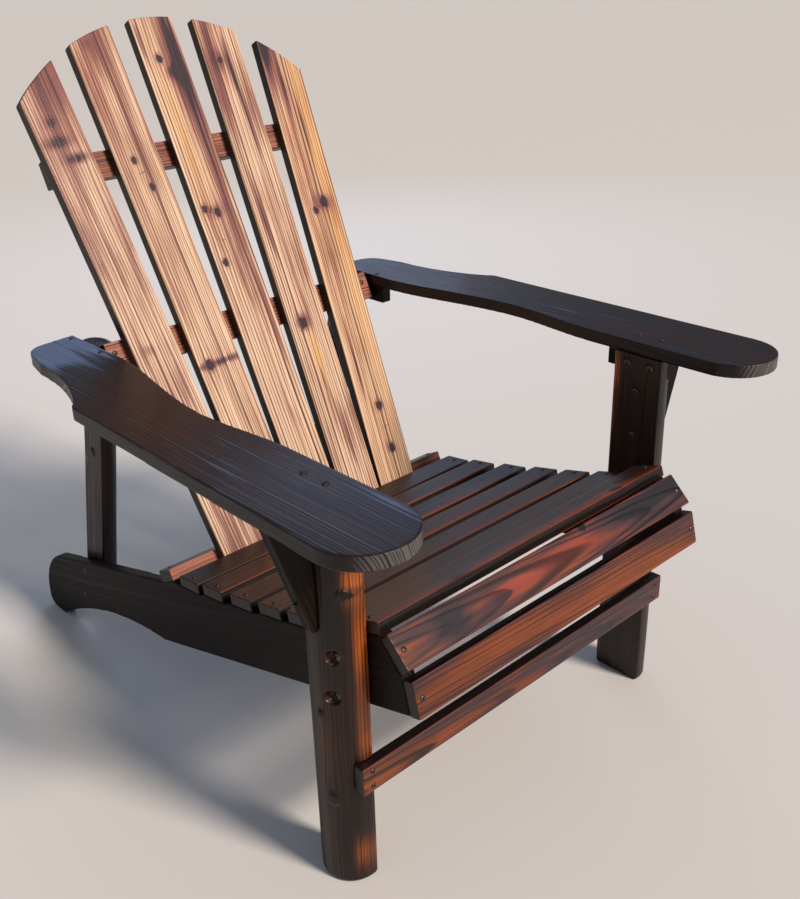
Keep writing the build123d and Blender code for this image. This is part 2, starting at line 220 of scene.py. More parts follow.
# What the grain, the flame and the brush do alike on every finish. Patterns are in cycles per
# metre along, across and through the board; a scorch runs from 0, none, to about 1, black, and on
# the arms it lays a painted blue sky sheen instead of black.
firPattern = dict(
    fibre=(14, 700, 700),  # fibres 70 mm by 1.4 mm, coarser than real ones so that they show
    cloud=(6, 26, 26),  # slow change of tone, 170 mm by 40 mm
    streak=(4, 190, 190),  # narrow streaks, 250 mm by 5 mm
    cloudTone=1.8,
    streakTone=1.6,
    fibreBand=(0.3, 0.7),
    fibreLight=1.12,
    burnByCloud=1.5,  # these three break up the edge of a scorch
    burnByStreak=1.5,
    burnByLine=0.25,
    smoke=(0.1, 0.65, 0.8),  # scorch where smoke starts and is full, then how much it hides
    charAndSheenLevels=(0.6, 1.15, 0.92),  # the same for black char, which on the arms is a painted blue sky sheen
    lineShade=0.5,  # light that a line still gives back, on bare wood and char alike
    knotSquash=(0.8, 1, 0),  # a knot is a little longer than wide
    knotEdge=190,  # its edge is ragged every 5 mm
    knotRagged=1.5,
    halo=(2.0, 0.8, 0.65),  # knot radii where the smoky halo starts and is full, then how much
    core=(1.1, 0.8),
    knotRings=22,  # radians of ring pattern for each knot radius
    rubbed=(0.42, 0.62),  # which streaks of an edge are rubbed bare
    earlyRough=0.08,  # early wood is rougher than the finish says, late wood smoother
    lateRough=-0.05,
    fibreRough=0.25,
    fibreRise=0.2,  # bump of a fibre and of a knot against that of a line
    knotRise=0.15,
    lineRise=0.5 * mm,
    varnishRise=0.4 * mm,
    varnishFill=0.5,  # varnish half fills the brushed lines
    varnishIor=1.5,
)


# Fir that was torched, wire-brushed and varnished. The flame blackens the hard late wood
# first, so the lines stand dark on golden early wood; brushing leaves those lines standing;
# the varnish gives a wet, broken gloss.
def scorchedFir(look):
    fir = firPattern
    material = bpy.data.materials.new(look["name"])
    material.use_nodes = True
    tree = material.node_tree
    shader = tree.nodes["Principled BSDF"]
    grain = add(tree, "ShaderNodeAttribute", attribute_name="grain").node.outputs["Vector"]
    knot = add(tree, "ShaderNodeAttribute", attribute_name="knot").node.outputs["Vector"]
    stainAndPaintedLight = add(tree, "ShaderNodeAttribute", attribute_name="stainAndPaintedLight").node.outputs["Vector"]
    sawn = add(tree, "ShaderNodeAttribute", attribute_name="sawn").node.outputs["Vector"]
    stainAndLightParts = add(tree, "ShaderNodeSeparateXYZ", {0: stainAndPaintedLight}).node.outputs
    cuts = add(tree, "ShaderNodeSeparateXYZ", {0: sawn}).node.outputs

    rings = ringCount(tree, grain, look["ringSpacing"] * mm, look["taper"])
    late = lateWood(tree, rings)
    ringNumber = add(tree, "ShaderNodeMath", {0: rings}, operation="FLOOR")
    ringChance = add(tree, "ShaderNodeTexWhiteNoise", {"W": ringNumber}, noise_dimensions="1D")
    ringWeight = add(tree, "ShaderNodeMapRange",
                     {"Value": ringChance, "To Min": look["faintestLine"], "To Max": 1.0})
    line = add(tree, "ShaderNodeMath", {0: late, 1: ringWeight}, operation="MULTIPLY")

    fibrePlace = add(tree, "ShaderNodeVectorMath", {0: grain, 1: fir["fibre"]}, operation="MULTIPLY")
    fibre = add(tree, "ShaderNodeTexNoise",
                {"Vector": fibrePlace, "Scale": 1.0, "Detail": 3.0, "Roughness": 0.6})
    cloudPlace = add(tree, "ShaderNodeVectorMath", {0: grain, 1: fir["cloud"]}, operation="MULTIPLY")
    cloud = add(tree, "ShaderNodeTexNoise", {"Vector": cloudPlace, "Scale": 1.0, "Detail": 3.0})
    streakPlace = add(tree, "ShaderNodeVectorMath", {0: grain, 1: fir["streak"]}, operation="MULTIPLY")
    streak = add(tree, "ShaderNodeTexNoise", {"Vector": streakPlace, "Scale": 1.0, "Detail": 2.0})
    cloudTone = add(tree, "ShaderNodeMath", {0: cloud, 1: 0.5}, operation="SUBTRACT")
    streakTone = add(tree, "ShaderNodeMath", {0: streak, 1: 0.5}, operation="SUBTRACT")

    # Early wood between pale and deep, its fibres, golden patches, then the dark lines.
    tone = add(tree, "ShaderNodeMath", {0: cloudTone, 1: fir["cloudTone"], 2: stainAndLightParts["Y"]},
               operation="MULTIPLY_ADD")
    tone = add(tree, "ShaderNodeMath", {0: streakTone, 1: fir["streakTone"], 2: tone},
               operation="MULTIPLY_ADD")
    colour = add(tree, "ShaderNodeMix", {0: tone, 6: linear(look["pale"]), 7: linear(look["deep"])},
                 data_type="RGBA").node.outputs[2]
    fibreDark, fibreLight = fir["fibreBand"]
    fibreTone = add(tree, "ShaderNodeMapRange",
                    {"Value": fibre, "From Min": fibreDark, "From Max": fibreLight,
                     "To Min": look["fibreDark"], "To Max": fir["fibreLight"]})
    colour = add(tree, "ShaderNodeVectorMath", {0: colour, "Scale": fibreTone}, operation="SCALE")
    colour = add(tree, "ShaderNodeMix", {0: stainAndLightParts["Z"], 6: colour, 7: linear(look["gold"])},
                 data_type="RGBA").node.outputs[2]
    lineMask = add(tree, "ShaderNodeMath", {0: line, 1: look["lineStrength"]}, operation="MULTIPLY")
    colour = add(tree, "ShaderNodeMix", {0: lineMask, 6: colour, 7: linear(look["line"])},
                 data_type="RGBA").node.outputs[2]

    # Scorch, which on the arms is a painted blue sky sheen: its edge is broken up by the clouds and
    # runs on along the dark lines.
    burnAndSheen = add(tree, "ShaderNodeMath", {0: cloudTone, 1: fir["burnByCloud"], 2: stainAndLightParts["X"]},
                operation="MULTIPLY_ADD")
    burnAndSheen = add(tree, "ShaderNodeMath", {0: streakTone, 1: fir["burnByStreak"], 2: burnAndSheen},
                operation="MULTIPLY_ADD")
    burnAndSheen = add(tree, "ShaderNodeMath", {0: late, 1: fir["burnByLine"], 2: burnAndSheen},
                operation="MULTIPLY_ADD")
    for paint, (starts, isFull, hides) in (("smoke", fir["smoke"]), ("charAndSheen", fir["charAndSheenLevels"])):
        mask = add(tree, "ShaderNodeMapRange",
                   {"Value": burnAndSheen, "From Min": starts, "From Max": isFull, "To Max": hides},
                   interpolation_type="SMOOTHSTEP")
        colour = add(tree, "ShaderNodeMix", {0: mask, 6: colour, 7: linear(look[paint])},
                     data_type="RGBA").node.outputs[2]
    shade = add(tree, "ShaderNodeMapRange", {"Value": line, "To Min": 1.0, "To Max": fir["lineShade"]})
    colour = add(tree, "ShaderNodeVectorMath", {0: colour, "Scale": shade}, operation="SCALE")

    # Knots: rings round the branch, a ragged rim, and a smoky halo.
    ragged = add(tree, "ShaderNodeTexNoise",
                 {"Vector": grain, "Scale": fir["knotEdge"], "Detail": 3.0, "Roughness": 0.65})
    ragged = add(tree, "ShaderNodeMath", {0: ragged, 1: 0.5}, operation="SUBTRACT")
    flatKnot = add(tree, "ShaderNodeVectorMath", {0: knot, 1: fir["knotSquash"]}, operation="MULTIPLY")
    knotAway = add(tree, "ShaderNodeVectorMath", {0: flatKnot}, operation="LENGTH").node.outputs["Value"]
    knotAway = add(tree, "ShaderNodeMath", {0: ragged, 1: fir["knotRagged"], 2: knotAway},
                   operation="MULTIPLY_ADD")
    starts, isFull, hides = fir["halo"]
    halo = add(tree, "ShaderNodeMapRange",
               {"Value": knotAway, "From Min": starts, "From Max": isFull, "To Max": hides},
               interpolation_type="SMOOTHSTEP")
    starts, isFull = fir["core"]
    core = add(tree, "ShaderNodeMapRange", {"Value": knotAway, "From Min": starts, "From Max": isFull},
               interpolation_type="SMOOTHSTEP")
    knotRing = add(tree, "ShaderNodeMath", {0: knotAway, 1: fir["knotRings"]}, operation="MULTIPLY")
    knotRing = add(tree, "ShaderNodeMath", {0: knotRing}, operation="SINE")
    knotRing = add(tree, "ShaderNodeMapRange",
                   {"Value": knotRing, "From Min": -1.0, "To Min": 0.0, "To Max": 0.5})
    colour = add(tree, "ShaderNodeMix", {0: halo, 6: colour, 7: linear(look["smoke"])},
                 data_type="RGBA").node.outputs[2]
    knotColour = add(tree, "ShaderNodeMix",
                     {0: knotRing, 6: linear(look["knot"]), 7: linear(look["charAndSheen"])},
                     data_type="RGBA").node.outputs[2]
    colour = add(tree, "ShaderNodeMix", {0: core, 6: colour, 7: knotColour},
                 data_type="RGBA").node.outputs[2]

    # Saw-cut sides and ends took the full flame; rings still show on the ends.
    edgeBurn = add(tree, "ShaderNodeMath", {0: cuts["X"], 1: look["edgeBurn"]}, operation="MULTIPLY")
    colour = add(tree, "ShaderNodeMix", {0: edgeBurn, 6: colour, 7: linear(look["edge"])},
                 data_type="RGBA").node.outputs[2]
    endBurn = add(tree, "ShaderNodeMath", {0: cuts["Y"], 1: look["endBurn"]}, operation="MULTIPLY")
    endRing = add(tree, "ShaderNodeMix", {0: late, 6: linear(look["end"]), 7: linear(look["edge"])},
                  data_type="RGBA").node.outputs[2]
    colour = add(tree, "ShaderNodeMix", {0: endBurn, 6: colour, 7: endRing},
                 data_type="RGBA").node.outputs[2]
    # Handled corners are rubbed back to the red-gold wood under the char.
    starts, isFull = fir["rubbed"]
    worn = add(tree, "ShaderNodeMapRange",
               {"Value": streak, "From Min": starts, "From Max": isFull, "To Max": look["edgeWear"]})
    worn = add(tree, "ShaderNodeMath", {0: worn, 1: cuts["Z"]}, operation="MULTIPLY")
    colour = add(tree, "ShaderNodeMix", {0: worn, 6: colour, 7: linear(look["gold"])},
                 data_type="RGBA").node.outputs[2]
    tree.links.new(colour, shader.inputs["Base Color"])

    rough = add(tree, "ShaderNodeMapRange",
                {"Value": line, "To Min": look["roughness"] + fir["earlyRough"],
                 "To Max": look["roughness"] + fir["lateRough"]})
    rough = add(tree, "ShaderNodeMath", {0: fibre, 1: fir["fibreRough"], 2: rough},
                operation="MULTIPLY_ADD")
    tree.links.new(rough, shader.inputs["Roughness"])
    shader.inputs["IOR"].default_value = fir["varnishIor"]
    shader.inputs["Specular IOR Level"].default_value = look["specular"]
    shader.inputs["Coat Weight"].default_value = look["varnish"]
    shader.inputs["Coat Roughness"].default_value = look["varnishRoughness"]

    # Brushed lines stand proud, with the fibres and knots a fraction of them.
    height = add(tree, "ShaderNodeMath", {0: fibre, 1: fir["fibreRise"], 2: line}, operation="MULTIPLY_ADD")
    height = add(tree, "ShaderNodeMath", {0: core, 1: fir["knotRise"], 2: height}, operation="MULTIPLY_ADD")
    bump = add(tree, "ShaderNodeBump",
               {"Height": height, "Strength": look["bump"], "Distance": fir["lineRise"]})
    tree.links.new(bump, shader.inputs["Normal"])
    softBump = add(tree, "ShaderNodeBump",
                   {"Height": height, "Strength": look["bump"] * fir["varnishFill"],
                    "Distance": fir["varnishRise"]})
    tree.links.new(softBump, shader.inputs["Coat Normal"])
    return material


# Colours run from pale to deep early wood, gold patches and rubbed corners (on the logs gold is
# partly a painted sunlit highlight), line for late wood, smoke and scorch for the flame's edge and
# middle (on the arms the scorch colour is a painted blue sky sheen), knot, then edge and end for
# sawn sides and ends. Ring spacing is in mm, and taper is how far rings run out along the board.
baseLook = dict(
    fibreDark=0.7, lineStrength=0.95, faintestLine=0.25, ringSpacing=4.0, taper=0.0, edgeBurn=0.97,
    endBurn=0.9, edgeWear=0.5, roughness=0.34, specular=0.3, varnish=0.2, varnishRoughness=0.16,
    bump=0.6, edge="#0c0604", end="#2a201b",
)
looks = dict(
    # Lightly torched, so golden wood shows between purple-brown lines.
    back_boards=dict(
        baseLook, name="goldenScorchedFir", pale="#fad6b8", deep="#9e5140", gold="#e8a84c", line="#45180f",
        smoke="#84504f", charAndSheen="#251c2c", knot="#3c2230", edge="#080302", roughness=0.4, ringSpacing=4.3,
        edgeWear=0.35, lineStrength=1.0, faintestLine=0.35, bump=0.25, fibreDark=0.62),
    # Torched until brown all through, with front edges rubbed red.
    seat_boards=dict(
        baseLook, name="darkScorchedFir", pale="#4a2a1e", deep="#231712", gold="#96401f", line="#0b0605",
        smoke="#211d19", charAndSheen="#12110e", knot="#0e0a0a", ringSpacing=4.2, roughness=0.3, edgeWear=1.0),
    # Red-brown wood with rings that run out along the board as pointed tongues.
    apron_boards=dict(
        baseLook, name="redScorchedFir", pale="#8c451f", deep="#40170e", gold="#9c4238", line="#130705",
        smoke="#3a2b36", charAndSheen="#1a1a24", knot="#100a0d", ringSpacing=3.8, roughness=0.3,
        lineStrength=1.0, taper=0.035),
    # Near black with grey ends; its scorch colour is a painted blue-grey sky sheen, not a colour of the
    # wood.
    arm_boards=dict(
        baseLook, name="charredFirTops", pale="#311813", deep="#150c0b", gold="#3d1d17", line="#040303",
        smoke="#15131d", charAndSheen="#5d7196", knot="#080606", end="#5c5756", ringSpacing=3.6, roughness=0.28,
        lineStrength=1.0, endBurn=0.97, edgeWear=0.2, varnish=0.12, specular=0.3),
    # Black and dull, with hardly any varnish.
    side_boards=dict(
        baseLook, name="charredFirSides", pale="#1d110a", deep="#0c0806", gold="#331b0f", line="#050403",
        smoke="#0d0b09", charAndSheen="#080706", knot="#070605", ringSpacing=5.0, roughness=0.4, specular=0.12,
        varnish=0.05),
    # Dark round logs, orange along an arris: partly bare wood, partly a painted sunlit highlight.
    half_logs=dict(
        baseLook, name="charredLogs", pale="#361a0f", deep="#0f0705", gold="#b86028", line="#080403",
        smoke="#170e0b", charAndSheen="#090605", knot="#0f0b09", end="#2a1c15", ringSpacing=3.4, roughness=0.27,
        specular=0.25, varnish=0.2, edgeBurn=0.0, edgeWear=0.0),
    # Barely torched, a dusty red.
    rail_boards=dict(
        baseLook, name="reddishFirRails", pale="#c07a64", deep="#8a4a3a", gold="#9a5a3c", line="#2a0f0a",
        smoke="#4a2620", charAndSheen="#1b1112", knot="#120b0c", ringSpacing=3.0, roughness=0.34),
)
firs = {slot: scorchedFir(look) for slot, look in looks.items()}
print("materials made:", len(firs), "finishes of fir")

plankShape = dict(
    cellAlong=2.7 * mm,
    cellAcross=1.4 * mm,
    spareRows=4,
    crowding=(("X", 1.52), ("Y", 1.36), ("Z", 1.3)),  # radians: nearer a quarter turn crowds more
    edge=2.2,  # radius in mm that a board's sawn edges are eased to
)


# A sawn board centred on the origin, X along it, its face up: eased edges, and an end that
# can be cut to an arc ("Crown") of the given radius and centre.
def growPlankTree():
    tree, given = newTree("sawnPlank", [
        ("Size", "Vector", (0.5, 0.05, 0.016)), ("Cell Along", "Float", plankShape["cellAlong"]),
        ("Cell Across", "Float", plankShape["cellAcross"]),
        ("Edge Radius", "Float", plankShape["edge"] * mm), ("Crown Radius", "Float", 0.0),
        ("Crown Centre", "Vector", (0, 0, 0)), ("Material", "Material", None),
    ])
    size = given["Size"]
    cells = add(tree, "ShaderNodeCombineXYZ",
                {"X": given["Cell Along"], "Y": given["Cell Across"], "Z": given["Cell Across"]})
    counts = add(tree, "ShaderNodeVectorMath", {0: size, 1: cells}, operation="DIVIDE")
    counts = add(tree, "ShaderNodeSeparateXYZ", {0: counts}).node.outputs
    sizes = add(tree, "ShaderNodeSeparateXYZ", {0: size}).node.outputs
    rows = {}
    for axis in "XYZ":
        rows[axis] = add(tree, "ShaderNodeMath", {0: counts[axis], 1: plankShape["spareRows"]},
                         operation="ADD")
    box = add(tree, "GeometryNodeMeshCube",
              {"Size": (2, 2, 2), "Vertices X": rows["X"], "Vertices Y": rows["Y"], "Vertices Z": rows["Z"]})
    # Crowd the rows of vertices towards every edge, so that the easing has rows to bend.
    place = add(tree, "GeometryNodeInputPosition")
    parts = add(tree, "ShaderNodeSeparateXYZ", {0: place}).node.outputs
    crowded = {}
    for axis, bend in plankShape["crowding"]:
        turned = add(tree, "ShaderNodeMath", {0: parts[axis], 1: bend}, operation="MULTIPLY")
        turned = add(tree, "ShaderNodeMath", {0: turned}, operation="SINE")
        crowded[axis] = add(tree, "ShaderNodeMath", {0: turned, 1: math.sin(bend)}, operation="DIVIDE")
    unit = add(tree, "ShaderNodeCombineXYZ", crowded)
    half = add(tree, "ShaderNodeVectorMath", {0: size, 1: (0.5, 0.5, 0.5)}, operation="MULTIPLY")
    square = add(tree, "ShaderNodeVectorMath", {0: unit, 1: half}, operation="MULTIPLY")
    # Round every edge: pull in to a smaller box, then stand off from it by the radius.
    radii = add(tree, "ShaderNodeCombineXYZ",
                {"X": given["Edge Radius"], "Y": given["Edge Radius"], "Z": given["Edge Radius"]})
    inner = add(tree, "ShaderNodeVectorMath", {0: half, 1: radii}, operation="SUBTRACT")
    innerLow = add(tree, "ShaderNodeVectorMath", {0: inner, "Scale": -1.0}, operation="SCALE")
    held = add(tree, "ShaderNodeVectorMath", {0: square, 1: inner}, operation="MINIMUM")
    held = add(tree, "ShaderNodeVectorMath", {0: held, 1: innerLow}, operation="MAXIMUM")
    off = add(tree, "ShaderNodeVectorMath", {0: square, 1: held}, operation="SUBTRACT")
    off = add(tree, "ShaderNodeVectorMath", {0: off}, operation="NORMALIZE")
    off = add(tree, "ShaderNodeVectorMath", {0: off, "Scale": given["Edge Radius"]}, operation="SCALE")
    eased = add(tree, "ShaderNodeVectorMath", {0: held, 1: off}, operation="ADD")
    # Crown: stretch each row to end on the arc.
    easedParts = add(tree, "ShaderNodeSeparateXYZ", {0: eased}).node.outputs
    centre = add(tree, "ShaderNodeSeparateXYZ", {0: given["Crown Centre"]}).node.outputs
    sidestep = add(tree, "ShaderNodeMath", {0: easedParts["Y"], 1: centre["Y"]}, operation="SUBTRACT")
    sideSquare = add(tree, "ShaderNodeMath", {0: sidestep, 1: sidestep}, operation="MULTIPLY")
    radiusSquare = add(tree, "ShaderNodeMath", {0: given["Crown Radius"], 1: 2.0}, operation="POWER")
    rise = add(tree, "ShaderNodeMath", {0: radiusSquare, 1: sideSquare}, operation="SUBTRACT")
    rise = add(tree, "ShaderNodeMath", {0: rise}, operation="SQRT")
    arcEnd = add(tree, "ShaderNodeMath", {0: centre["X"], 1: rise}, operation="ADD")
    halfLength = add(tree, "ShaderNodeMath", {0: sizes["X"], 1: 0.5}, operation="MULTIPLY")
    fromFoot = add(tree, "ShaderNodeMath", {0: easedParts["X"], 1: halfLength}, operation="ADD")
    reach = add(tree, "ShaderNodeMath", {0: arcEnd, 1: halfLength}, operation="ADD")
    share = add(tree, "ShaderNodeMath", {0: reach, 1: sizes["X"]}, operation="DIVIDE")
    stretched = add(tree, "ShaderNodeMath", {0: fromFoot, 1: share}, operation="MULTIPLY")
    stretched = add(tree, "ShaderNodeMath", {0: stretched, 1: halfLength}, operation="SUBTRACT")
    crownedPlace = add(tree, "ShaderNodeCombineXYZ",
                       {"X": stretched, "Y": easedParts["Y"], "Z": easedParts["Z"]})
    isCrowned = add(tree, "FunctionNodeCompare", {0: given["Crown Radius"], 1: mm},
                    operation="GREATER_THAN")
    finalPlace = add(tree, "GeometryNodeSwitch",
                     {"Switch": isCrowned, "False": eased, "True": crownedPlace}, input_type="VECTOR")
    shaped = add(tree, "GeometryNodeSetPosition", {"Geometry": box, "Position": finalPlace})
    whole = add(tree, "GeometryNodeRealizeInstances", {"Geometry": shaped})
    painted = add(tree, "GeometryNodeSetMaterial", {"Geometry": whole, "Material": given["Material"]})
    add(tree, "NodeGroupOutput", {0: painted})
    return tree


brushing = dict(
    swellStarts=0.3,  # share of a ring where its swell begins
    sawWave=(7, 26, 26),  # the saw's slow unevenness, 140 mm by 40 mm, in cycles per metre
    sawTop=0.85,  # keeps that unevenness below the sawn face
    mound=(1.25, 0.6),  # knot radii where a knot's mound starts and is full
)


# Wire brushing: soft early wood worn down between the late-wood lines, a slow unevenness
# from sawing, and knots left standing.
def growBrushTree():
    tree, given = newTree("wireBrushing", [
        ("Ring Spacing", "Float", 5 * mm), ("Taper", "Float", 0.0), ("Line Height", "Float", 0.2 * mm),
        ("Unevenness", "Float", 0.4 * mm), ("Knot Height", "Float", 0.5 * mm),
        ("Material", "Material", None),
    ])
    grain = add(tree, "GeometryNodeInputNamedAttribute", {"Name": "grain"}, data_type="FLOAT_VECTOR")
    knot = add(tree, "GeometryNodeInputNamedAttribute", {"Name": "knot"}, data_type="FLOAT_VECTOR")
    rings = ringCount(tree, grain, given["Ring Spacing"], given["Taper"])
    # A round swell for each ring; the sharp edge of the line is left to the varnish's bump.
    swell = add(tree, "ShaderNodeMath", {0: rings, 1: brushing["swellStarts"]}, operation="SUBTRACT")
    swell = add(tree, "ShaderNodeMath", {0: swell, 1: 2 * math.pi}, operation="MULTIPLY")
    swell = add(tree, "ShaderNodeMath", {0: swell}, operation="SINE")
    sunk = add(tree, "ShaderNodeMath", {0: swell, 1: 1.0}, operation="SUBTRACT")
    height = add(tree, "ShaderNodeMath", {0: sunk, 1: given["Line Height"]}, operation="MULTIPLY")
    slowPlace = add(tree, "ShaderNodeVectorMath", {0: grain, 1: brushing["sawWave"]}, operation="MULTIPLY")
    uneven = add(tree, "ShaderNodeTexNoise", {"Vector": slowPlace, "Scale": 1.0, "Detail": 1.0})
    uneven = add(tree, "ShaderNodeMath", {0: uneven, 1: brushing["sawTop"]}, operation="SUBTRACT")
    height = add(tree, "ShaderNodeMath", {0: uneven, 1: given["Unevenness"], 2: height},
                 operation="MULTIPLY_ADD")
    knotAway = add(tree, "ShaderNodeVectorMath", {0: knot, 1: firPattern["knotSquash"]},
                   operation="MULTIPLY")
    knotAway = add(tree, "ShaderNodeVectorMath", {0: knotAway}, operation="LENGTH").node.outputs["Value"]
    starts, isFull = brushing["mound"]
    mound = add(tree, "ShaderNodeMapRange", {"Value": knotAway, "From Min": starts, "From Max": isFull},
                interpolation_type="SMOOTHSTEP")
    height = add(tree, "ShaderNodeMath", {0: mound, 1: given["Knot Height"], 2: height},
                 operation="MULTIPLY_ADD")
    normal = add(tree, "GeometryNodeInputNormal")
    offset = add(tree, "ShaderNodeVectorMath", {0: normal, "Scale": height}, operation="SCALE")
    brushed = add(tree, "GeometryNodeSetPosition", {"Geometry": given["Geometry"], "Offset": offset})
    whole = add(tree, "GeometryNodeRealizeInstances", {"Geometry": brushed})
    painted = add(tree, "GeometryNodeSetMaterial", {"Geometry": whole, "Material": given["Material"]})
    add(tree, "NodeGroupOutput", {0: painted})
    return tree


plankTree = growPlankTree()
brushTree = growBrushTree()

# How the grain parts round a knot, in knot radii, as a stream does round a stone.
knotFlow = dict(
    none=50.0,  # a distance at which no knot shows
    hidden=60.0,  # moves a face's knots off its sides and back
    reach=(5.0, 1.0),
    drawnOut=0.16,
    bend=0.8,
    softness=2.0,
)
# Cosines of a surface's normal between which it turns into a sawn end, side, back or corner.
sawnTurn = dict(
    knotSide=(0.3, -0.2),
    end=(0.55, 0.9),
    side=(0.75, 0.25),
    back=(-0.5, -0.9),
    backFlame=0.55,  # share of the flame that a back was spared
    corner=(0.3, 0.9),
)
# What a board is where its own values don't say; heights are in mm.
plainBoard = dict(
    pithAcross=(60, 160),  # ranges that a pith is drawn from, in mm
    pithBelow=(20, 60),
    trunkLength=40,  # each board is drawn from somewhere along this many metres of grain
    knots=[],
    marks=[],
    base=(0.0, 0.35, 0.0),
    lineHeight=0.05,
    uneven=0.5,
    knotHeight=0.1,
    knotsOneSide=1.0,
)


# Gives a board its grain, knots and scorch marks, then brushes it and puts it in place. Its
# values: pith = (across, below the face) in mm; knots = [(along, across, radius)] in mm from
# the board's start and middle line; base = (scorch, darker, golden) all over; marks = [(along,
# across, half length, half width, scorch, darker, golden)]. On the arms the scorch amount lays a
# painted blue sky sheen, and on the logs golden lays partly a painted sunlit highlight.
def finishBoard(name, slot, mesh, place, board):
    look = looks[slot]
    board = {**plainBoard, **board}
    points = readPoints(mesh)
    normals = readNormals(mesh)
    chance = random.Random(board.get("seed", name))
    drawnPith = (chance.uniform(*board["pithAcross"]), chance.uniform(*board["pithBelow"]))
    pithAcross, pithBelow = board.get("pith", drawnPith)
    shift = chance.uniform(0, board["trunkLength"])
    grain = points + np.array([shift, pithAcross * mm, pithBelow * mm])

    along = points[:, 0] - (place.low[0] - place.middle[0])
    across = points[:, 1]
    nearest = np.full((len(points), 3), knotFlow["none"])
    nearest[:, 2] = 0.0
    best = np.full(len(points), np.inf)
    for knotAlong, knotAcross, knotRadius in board["knots"]:
        kx = (along / mm - knotAlong) / knotRadius
        ky = (across / mm - knotAcross) / knotRadius
        away = np.hypot(kx, ky)
        closer = away < best
        best[closer] = away[closer]
        nearest[closer] = np.column_stack([kx, ky, np.full(len(kx), knotRadius)])[closer]
        spread = knotFlow["drawnOut"] * kx ** 2 + ky ** 2
        window = smoothStep(*knotFlow["reach"], np.sqrt(spread))
        bend = knotFlow["bend"] * ky / (spread + knotFlow["softness"]) * window
        grain[:, 1] -= bend * knotRadius * mm
    # Edges and backs don't show the face's knots.
    hidden = smoothStep(*sawnTurn["knotSide"], normals[:, 2])[:, None] * board["knotsOneSide"]
    nearest = nearest + hidden * np.array([knotFlow["hidden"], knotFlow["hidden"], 0.0])
    writeVectors(mesh, "knot", nearest)
    writeVectors(mesh, "grain", grain)

    stainAndPaintedLight = np.zeros((len(points), 3)) + np.array(board["base"])
    for markAlong, markAcross, halfLength, halfWidth, charAndSheen, darker, golden in board["marks"]:
        lengthwise = (along / mm - markAlong) / halfLength
        crosswise = (across / mm - markAcross) / halfWidth
        weight = np.exp(-lengthwise ** 2 - crosswise ** 2)
        stainAndPaintedLight += weight[:, None] * np.array([charAndSheen, darker, golden])
    writeVectors(mesh, "stainAndPaintedLight", stainAndPaintedLight)

    faceLook = normals[:, 2]
    endLook = smoothStep(*sawnTurn["end"], np.abs(normals[:, 0]))
    spared = sawnTurn["backFlame"] * smoothStep(*sawnTurn["back"], faceLook)
    sideLook = smoothStep(*sawnTurn["side"], faceLook) * (1 - spared)
    cornerLook = smoothStep(*sawnTurn["corner"], 2 * np.abs(normals[:, 1] * normals[:, 2]))
    writeVectors(mesh, "sawn", np.column_stack([sideLook, endLook, cornerLook]))

    brushed = grow(mesh, brushTree, {
        "Ring Spacing": look["ringSpacing"] * mm, "Taper": look["taper"],
        "Line Height": board["lineHeight"] * mm, "Unevenness": board["uneven"] * mm,
        "Knot Height": board["knotHeight"] * mm, "Material": firs[slot],
    })
    writePoints(brushed, place.toWorld(readPoints(brushed)))
    brushed.polygons.foreach_set("use_smooth", [True] * len(brushed.polygons))
    brushed.name = name
    piece = bpy.data.objects.new(f"{name}_piece", brushed)
    bpy.context.scene.collection.objects.link(piece)
    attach(piece, "root")
    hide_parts(name)
    return piece


# A straight board on its CAD node's place. A crown is a centre in metres and a radius.
def plank(name, slot, alongHint, faceHint, board, crown=None):
    place = BoardFrame(name, alongHint, faceHint)
    edge = board.get("edge", plankShape["edge"]) * mm
    values = {"Size": tuple(place.size), "Edge Radius": edge, "Material": firs[slot]}
    if crown:
        centre, radius = crown
        local = place.toLocal(np.array([centre]))[0]
        values["Crown Radius"] = radius
        values["Crown Centre"] = (local[0], local[1], 0.0)
    mesh = grow(bpy.data.meshes.new(name), plankTree, values)
    return finishBoard(name, slot, mesh, place, board)


